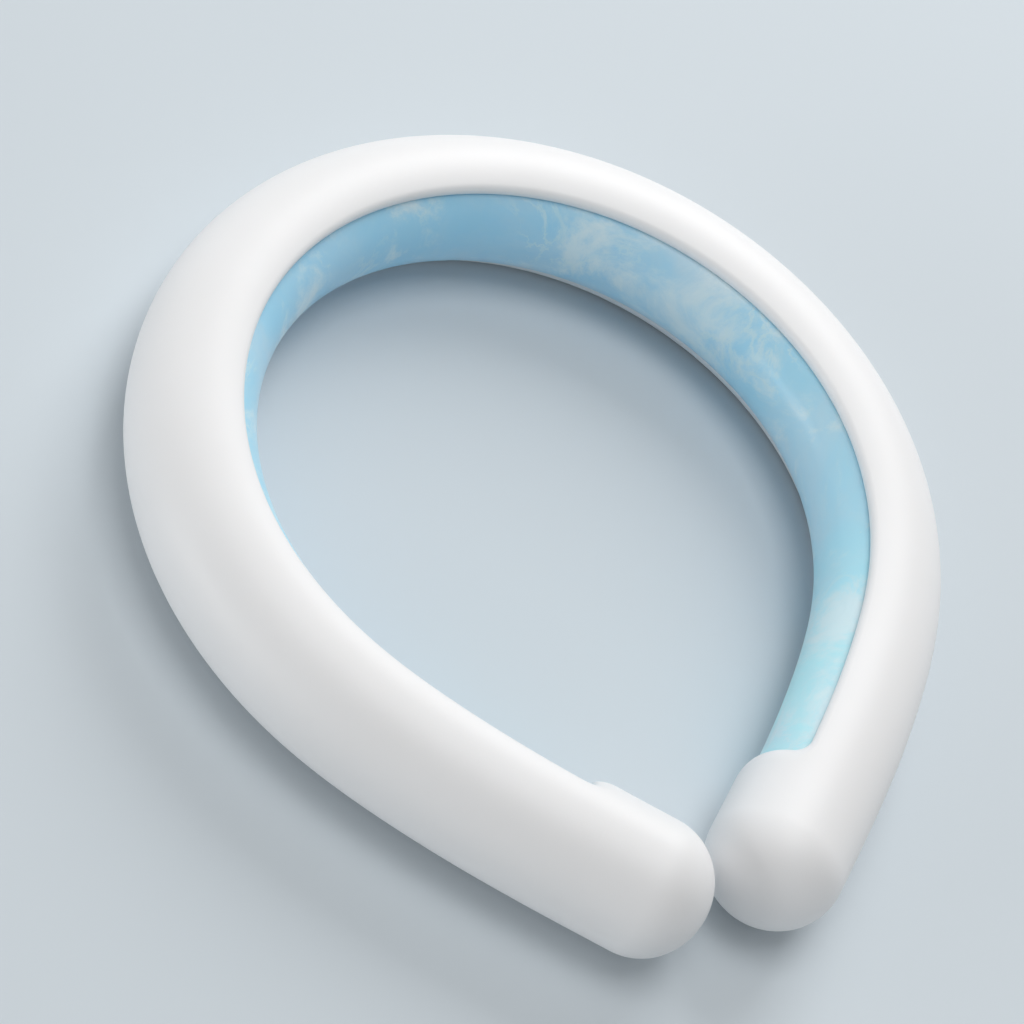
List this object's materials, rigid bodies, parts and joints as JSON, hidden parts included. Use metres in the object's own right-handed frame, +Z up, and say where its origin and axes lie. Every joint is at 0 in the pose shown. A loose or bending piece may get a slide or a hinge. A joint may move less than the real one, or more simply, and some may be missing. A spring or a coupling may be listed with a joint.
{
  "type": "cooling neck ring",
  "caption": "Open teardrop neck ring that lies flat: a gel-filled cooling tube in a soft white cover, bare along the inner side that touches the neck.",
  "frame": {"origin": "on the surface that the ring lies on, under the middle of its outline", "axes": "+Z up out of the ring's plane, +Y towards the back of the ring, -Y towards the opening between its two tips, +X to the right seen from above with +Y up the page"},
  "size_m": [0.1738, 0.1858, 0.028],
  "materials": {
    "cover": "white soft moulded elastomer with a satin surface",
    "gel": "clear film over sky-blue gel with white marbling, semi-gloss"
  },
  "bodies": {
    "root": {"outer_cover": "cover", "gel_tube": "gel"}
  },
  "joints": []
}
